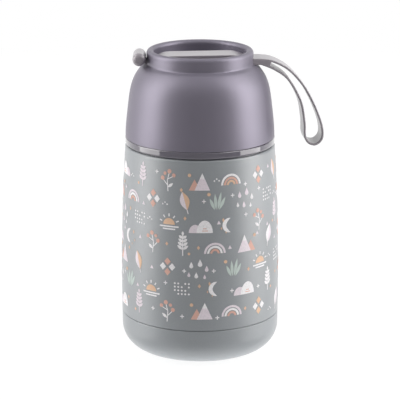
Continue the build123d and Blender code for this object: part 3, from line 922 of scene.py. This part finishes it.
def broad_leaf(flip):
    inks = ("white", "lilac") if flip else ("lilac", "peach")
    tilt = 74 if flip else 106
    c, s = math.cos(math.radians(tilt)), math.sin(math.radians(tilt))
    return [
        (inks[0], leaf(-4.2 * c, -4.2 * s, 9.8, 5.0, tilt, half=1)),
        (inks[1], leaf(-4.2 * c, -4.2 * s, 9.8, 5.0, tilt, half=-1)),
        ("white", stroke(-6.0 * c, -6.0 * s, -4.0 * c, -4.0 * s, 0.45)),
    ]


def reeds(flip):
    s = -1 if flip else 1
    blades = []
    for x, lean, length in ((-1.3, 28, 7.2), (-0.6, 12, 9.2), (0.2, -4, 8.2), (0.9, -24, 6.4)):
        blades += leaf(s * x, -4.4, length, 1.6, 90 + s * lean)
    return [("mint" if flip else "white", blades), ("peach", disc(s * 3.9, 3.5, 0.9))]


print("4 pictures: sprig, berries, broad leaf, reeds")

# %% Patterns and small marks
def arches(flip):
    inks = ("white", "salmon", "peach") if flip else ("lilac", "white", "salmon")
    return [(ink, bow(0, -2.6, 5.0 - 1.55 * k, 1.1, 0, 180)) for k, ink in enumerate(inks)]


def diamonds(flip):
    cells = [(0, 2.7), (-2.5, 0), (2.5, 0), (0, -2.7)]
    inks = ("peach", "white") if flip else ("salmon", "white")
    made = [[(x - 1.75, y), (x, y - 2.0), (x + 1.75, y), (x, y + 2.0)] for x, y in cells]
    return [(inks[0], made[:1] + made[3:]), (inks[1], made[1:3])]


def dot_field(flip):
    dots = []
    for y in range(4):
        for x in range(5):
            if (x + y + flip) % 5:
                dots += disc(-3.6 + 1.8 * x, -2.7 + 1.8 * y, 0.5, steps=10)
    return [("white", dots)]


def small_mark(kind):
    """One of the tiny marks that fill the room between the pictures."""
    if kind == 0:
        return [("white", stroke(-0.9, 0, 0.9, 0, 0.42) + stroke(0, -0.9, 0, 0.9, 0.42))]
    if kind == 1:
        return [("peach", [[(-0.7, 0), (0, -0.95), (0.7, 0), (0, 0.95)]])]
    if kind == 2:
        places = ((-1.1, 0), (0, 0.8), (1.1, 0))
        return [("white", [dot for x, y in places for dot in disc(x, y, 0.36, steps=10)])]
    return [("lilac", [[(-0.9, -0.7), (0.9, -0.7), (0, 0.95)]])]


print("3 patterns: arches, diamonds, dots; and 4 small marks")

# %% [markdown]
# The pictures stand in seven rows of fifteen. Every other row is shifted by half a step, and
# each picture is nudged a little by a random number with a fixed seed, so that the pattern
# is even but not stiff, and comes out the same each time. Which picture stands where comes
# from counting on by an uneven step along the rows and another up the columns, which keeps
# two of a kind apart. A small mark goes between each picture and the next.

# %% Lay out the pattern
pictures = [
    mountains, sprig, moon, sunrise, rain, broad_leaf,
    arches, berries, hills, dot_field, reeds, diamonds,
]
wall_widest, wall_widest_at = 46.0, 38.0
rows, columns = 7, 15
picture_scale, mark_scale = 1.14, 1.3
picture_nudge, mark_nudge = (1.6, 1.2), (1.5, 5)
column_step = 2 * math.pi * wall_widest / columns
row_step = 12.9
lowest_row = 34.2
chance = random.Random(11)
printed = {}


def put_down(picture, across, up, scale):
    """Add a picture's shapes to the layers of ink, at a place on the flat sheet."""
    for layer, (ink, shapes) in enumerate(picture):
        moved = [[(across + scale * x, up + scale * y) for x, y in shape] for shape in shapes]
        printed.setdefault((ink, layer), []).extend(moved)


for row in range(rows):
    for column in range(columns):
        across = (column + 0.5 * (row % 2)) * column_step
        across += chance.uniform(-picture_nudge[0], picture_nudge[0])
        up = lowest_row + row * row_step + chance.uniform(-picture_nudge[1], picture_nudge[1])
        picture = pictures[(column * 5 + column // 2 + row * 2) % len(pictures)]
        put_down(picture(chance.random() < 0.5), across, up, picture_scale)
        beside = across + column_step / 2 + chance.uniform(-mark_nudge[0], mark_nudge[0])
        above = up + chance.uniform(-mark_nudge[1], mark_nudge[1])
        put_down(small_mark(chance.randrange(4)), beside, above, mark_scale)
print(sum(len(s) for s in printed.values()), "flat shapes in", len(printed), "ink layers")

# %% [markdown]
# The wall isn't a straight cylinder. It is a very shallow arc, widest 38 mm above the table
# and 2.7 mm narrower at the seam, and its radius at each height follows from that arc.

# %% From the flat sheet to the jar's wall
wall_inset, wall_top = 2.7, 122.7
wall_arc = ((wall_top - wall_widest_at) ** 2 + wall_inset**2) / (2 * wall_inset)
strip_width, smallest_strip = 2.0, 0.002
join_distance = 0.004


def wall_radius(height):
    """Radius of the painted wall at a height, in millimetres."""
    rise = height - wall_widest_at
    return wall_widest - wall_arc + math.sqrt(wall_arc**2 - rise**2)


def cut(shape, edge, keep_right):
    """The part of a flat shape on one side of a vertical line."""
    kept = []
    for (x0, y0), (x1, y1) in zip(shape, shape[1:] + shape[:1]):
        inside0 = (x0 >= edge) if keep_right else (x0 <= edge)
        inside1 = (x1 >= edge) if keep_right else (x1 <= edge)
        if inside0:
            kept.append((x0, y0))
        if inside0 != inside1:
            kept.append((edge, y0 + (y1 - y0) * (edge - x0) / (x1 - x0)))
    return kept


def area(shape):
    """Area of a flat shape, positive when its corners run anticlockwise."""
    return sum(x0 * y1 - x1 * y0 for (x0, y0), (x1, y1) in zip(shape, shape[1:] + shape[:1])) / 2


def wrapped(shapes, lift):
    """The shapes cut into strips and moved onto the wall, as a bmesh."""
    skin = bmesh.new()
    for flat in shapes:
        flat = flat if area(flat) > 0 else flat[::-1]
        first = math.floor(min(x for x, y in flat) / strip_width)
        last = math.ceil(max(x for x, y in flat) / strip_width)
        for k in range(first, last):
            strip = cut(cut(flat, k * strip_width, True), (k + 1) * strip_width, False)
            if len(strip) < 3 or area(strip) < smallest_strip:
                continue
            corners = []
            for x, y in strip:
                turn = x / wall_widest
                radius = (wall_radius(y) + lift) * MM
                corners.append(skin.verts.new((radius * math.cos(turn), radius * math.sin(turn), y * MM)))
            skin.faces.new(corners)
    bmesh.ops.remove_doubles(skin, verts=skin.verts, dist=join_distance * MM)
    return skin


print("wall radius at the seam", round(wall_radius(wall_top), 1), "mm")

# %% [markdown]
# An ink is thick and nearly matt. The woven mesh of the screen leaves it slightly uneven,
# in patches of about 0.8 mm where the lacquer shows through a little.

# %% Five screen inks
ink_colours = {
    "white": "#f3f1f4",
    "lilac": "#e6dce4",
    "salmon": "#dcae9f",
    "peach": "#e2bd9f",
    "mint": "#c3d0cb",
}
inks = {}
for ink, code in ink_colours.items():
    inks[ink], tree, shader, place = new_material(f"Screen_ink_{ink}", Roughness=0.5, IOR=1.5)
    mesh_marks = add_node(
        tree, "ShaderNodeTexNoise", {"Vector": place, "Scale": grains_of(0.8), "Detail": 2.0}
    )
    thin = add_node(
        tree,
        "ShaderNodeMapRange",
        {"Value": mesh_marks.outputs["Fac"], "From Min": 0.45, "From Max": 0.8, "To Min": 0.0, "To Max": 0.3},
    )
    colour = add_node(
        tree,
        "ShaderNodeMix",
        {0: thin.outputs["Result"], 6: linear(code), 7: linear("#a3aaa8")},
        data_type="RGBA",
    )
    tree.links.new(colour.outputs[2], shader.inputs["Base Color"])
    film = add_node(
        tree, "ShaderNodeBump", {"Height": mesh_marks.outputs["Fac"], "Strength": 1.0, "Distance": 0.01 * MM}
    )
    tree.links.new(film.outputs["Normal"], shader.inputs["Normal"])
print(len(inks), "inks")

# %% [markdown]
# Each layer of ink is one piece, a thin film with real thickness. Where two inks of one
# picture overlap, the later one lies higher, 0.02 mm for each layer.

# %% Print the layers
first_layer, layer_step = 0.03, 0.02
ink_film = 0.05
for (ink, layer), shapes in sorted(printed.items()):
    skin = wrapped(shapes, first_layer + layer_step * layer)
    mesh = bpy.data.meshes.new(f"print_{ink}_{layer + 1}")
    skin.to_mesh(mesh)
    skin.free()
    mesh.materials.append(inks[ink])
    print_layer = bpy.data.objects.new(mesh.name, mesh)
    bpy.context.scene.collection.objects.link(print_layer)
    film = print_layer.modifiers.new("Ink film", "SOLIDIFY")
    film.thickness = ink_film * MM
    film.offset = 1
    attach(print_layer, "vessel")
    print(print_layer.name, len(mesh.polygons), "strips")

# %% [markdown]
# ## Table, light and camera
#
# The jar stands on a plain white table in front of white paper. Two tall, wide softboxes,
# one on each side and square to the camera, draw the pair of soft highlights on its round
# body, and the dark room behind the camera leaves the middle darker. The softboxes reach
# below the table's level. The table doesn't shade them and isn't seen in mirrors, so an
# upright wall, which the camera sees from above, mirrors them all the way down.
#
# The paper is the world: as bright as white paper wherever it is seen, straight, in a
# mirror or through something clear, and dimmer as a lamp, so that the light on the jar comes
# from the softboxes. In a mirror the half of the room with the camera is darker, and the
# paper goes on overhead and underfoot.

# %% White paper
paper_as_a_lamp = 0.10
world = bpy.data.worlds.new("White_paper_room")
bpy.context.scene.world = world
world.use_nodes = True
tree = world.node_tree
room = tree.nodes["Background"]
ray = add_node(tree, "ShaderNodeLightPath")
look = add_node(tree, "ShaderNodeTexCoord")
way = add_node(tree, "ShaderNodeSeparateXYZ", {"Vector": look.outputs["Generated"]})
behind = add_node(
    tree,
    "ShaderNodeMapRange",
    {"Value": way.outputs["Y"], "From Min": -0.1, "From Max": 0.35, "To Min": 0.35, "To Max": 1.0},
)
steep = add_node(tree, "ShaderNodeMath", {0: way.outputs["Z"]}, operation="ABSOLUTE")
over_and_under = add_node(
    tree,
    "ShaderNodeMapRange",
    {"Value": steep.outputs[0], "From Min": 0.5, "From Max": 0.8, "To Min": 0.0, "To Max": 1.0},
)
paper = add_node(
    tree,
    "ShaderNodeMath",
    {0: behind.outputs["Result"], 1: over_and_under.outputs["Result"]},
    operation="MAXIMUM",
)
mirrored = add_node(
    tree,
    "ShaderNodeMath",
    {0: ray.outputs["Is Glossy Ray"], 1: ray.outputs["Is Transmission Ray"]},
    operation="MAXIMUM",
)
seen_in_mirror = add_node(
    tree, "ShaderNodeMath", {0: mirrored.outputs[0], 1: paper.outputs[0]}, operation="MULTIPLY"
)
seen = add_node(
    tree,
    "ShaderNodeMath",
    {0: ray.outputs["Is Camera Ray"], 1: seen_in_mirror.outputs[0]},
    operation="MAXIMUM",
)
strength = add_node(tree, "ShaderNodeMath", {0: seen.outputs[0], 1: paper_as_a_lamp}, operation="MAXIMUM")
tree.links.new(strength.outputs[0], room.inputs["Strength"])
room.inputs["Color"].default_value = (1, 1, 1, 1)
print("paper as a lamp", paper_as_a_lamp)

# %% [markdown]
# The table looks as white as the paper behind it, so that its edge doesn't show. It keeps a
# share of its plain laminate, which carries the jar's faint shadow, and a polished top layer
# mirrors the jar a little. For the light that it throws back at the jar it is plain laminate
# with a painted glow round the foot: an emission that lights the foot though no lamp is there.

# %% White table
table_white, tree, shader, place = new_material("White_table_laminate", Roughness=0.5)
shader.inputs["Base Color"].default_value = linear("#e6e6e6")
white = (1, 1, 1, 1)
top_layer_share, laminate_share = 0.04, 0.22
paper_glow = add_node(tree, "ShaderNodeEmission", {"Color": white, "Strength": 1.17})
top_layer = add_node(tree, "ShaderNodeBsdfGlossy", {"Color": white, "Roughness": 0.12})
polished = add_node(
    tree, "ShaderNodeMixShader", {0: top_layer_share, 1: paper_glow.outputs[0], 2: top_layer.outputs[0]}
)
bright = add_node(
    tree, "ShaderNodeMixShader", {0: laminate_share, 1: polished.outputs[0], 2: shader.outputs[0]}
)
ray = add_node(tree, "ShaderNodeLightPath")
from_axis = add_node(tree, "ShaderNodeVectorMath", {0: place}, operation="LENGTH")
# Painted glow: an emission ring round the foot that fades out from 46 to 64 mm and lights the jar's foot.
# Only rays that see the table neither straight nor in a mirror get it.
glow_starts, glow_ends = 46 * MM, 64 * MM
painted_glow_strength = add_node(
    tree,
    "ShaderNodeMapRange",
    {
        "Value": from_axis.outputs["Value"],
        "From Min": glow_starts,
        "From Max": glow_ends,
        "To Min": 1.1,
        "To Max": 0.0,
    },
)
painted_foot_glow = add_node(
    tree, "ShaderNodeEmission", {"Color": white, "Strength": painted_glow_strength.outputs["Result"]}
)
laminate_and_painted_glow = add_node(tree, "ShaderNodeAddShader", {0: shader.outputs[0], 1: painted_foot_glow.outputs[0]})
straight_or_mirrored = add_node(
    tree,
    "ShaderNodeMath",
    {0: ray.outputs["Is Camera Ray"], 1: ray.outputs["Is Glossy Ray"]},
    operation="MAXIMUM",
)
seen = add_node(
    tree,
    "ShaderNodeMath",
    {0: straight_or_mirrored.outputs[0], 1: ray.outputs["Is Transmission Ray"]},
    operation="MAXIMUM",
)
surface = add_node(
    tree, "ShaderNodeMixShader", {0: seen.outputs[0], 1: laminate_and_painted_glow.outputs[0], 2: bright.outputs[0]}
)
tree.links.new(surface.outputs[0], tree.nodes["Material Output"].inputs["Surface"])
print(table_white.name)

# %% Set up the table
table_radius = 0.9
shape = bmesh.new()
bmesh.ops.create_circle(shape, cap_ends=True, radius=table_radius, segments=96)
table_mesh = bpy.data.meshes.new("white_table")
shape.to_mesh(table_mesh)
shape.free()
table_mesh.materials.append(table_white)
table = bpy.data.objects.new("white_table", table_mesh)
bpy.context.scene.collection.objects.link(table)
table.visible_shadow = False
table.visible_glossy = False
print("table", 2 * table_radius, "m across")

# %% [markdown]
# The camera stands 1.2 m in front of the jar, a little to its left, and looks down at it by
# 15 degrees. A long lens keeps the jar's upright sides nearly parallel.

# %% Camera
camera = bpy.data.objects.new("camera", bpy.data.cameras.new("camera"))
bpy.context.scene.collection.objects.link(camera)
camera.location = (-0.1150, -1.1945, 0.4173)
aim = Vector((0, 0, 0.08819))
camera.rotation_euler = (aim - camera.location).to_track_quat("-Z", "Y").to_euler()
camera.data.lens = 191.7
camera.data.sensor_width = 36
bpy.context.scene.camera = camera
print("camera", round((aim - camera.location).length, 3), "m away")

# %% [markdown]
# A softbox is brightest in its middle, where the flash stands behind the cloth, so a smaller
# lamp is added near the middle of each one. A lamp's power in watts is its brightness times
# its area times pi.

# %% Softboxes
def softbox(name, around, brightness, height, width, length, colour):
    """Soft light, turned this many degrees round the jar from the camera, a metre away."""
    lamp = bpy.data.lights.new(name, "AREA")
    lamp.shape = "RECTANGLE"
    lamp.size = width
    lamp.size_y = length
    lamp.energy = brightness * math.pi * lamp.size * lamp.size_y
    lamp.color = colour
    stand = bpy.data.objects.new(name, lamp)
    bpy.context.scene.collection.objects.link(stand)
    bearing = math.atan2(camera.location.y, camera.location.x) + math.radians(around)
    stand.location = (math.cos(bearing), math.sin(bearing), height)
    target = Vector((0, 0, 0.12))
    stand.rotation_euler = (target - stand.location).to_track_quat("-Z", "Y").to_euler()
    stand.visible_camera = False
    print(name, round(lamp.energy, 1), "W")


warm_white = (1.0, 0.985, 0.97)
softbox("left_softbox", -84, 2.35, 0.45, 0.9, 1.9, warm_white)
softbox("right_softbox", 84, 2.7, 0.45, 0.9, 1.9, warm_white)
softbox("left_flash_centre", -80, 2.2, 0.4, 0.4, 0.9, warm_white)
softbox("right_flash_centre", 80, 2.5, 0.4, 0.4, 0.9, warm_white)
bpy.context.scene.view_settings.view_transform = "Standard"
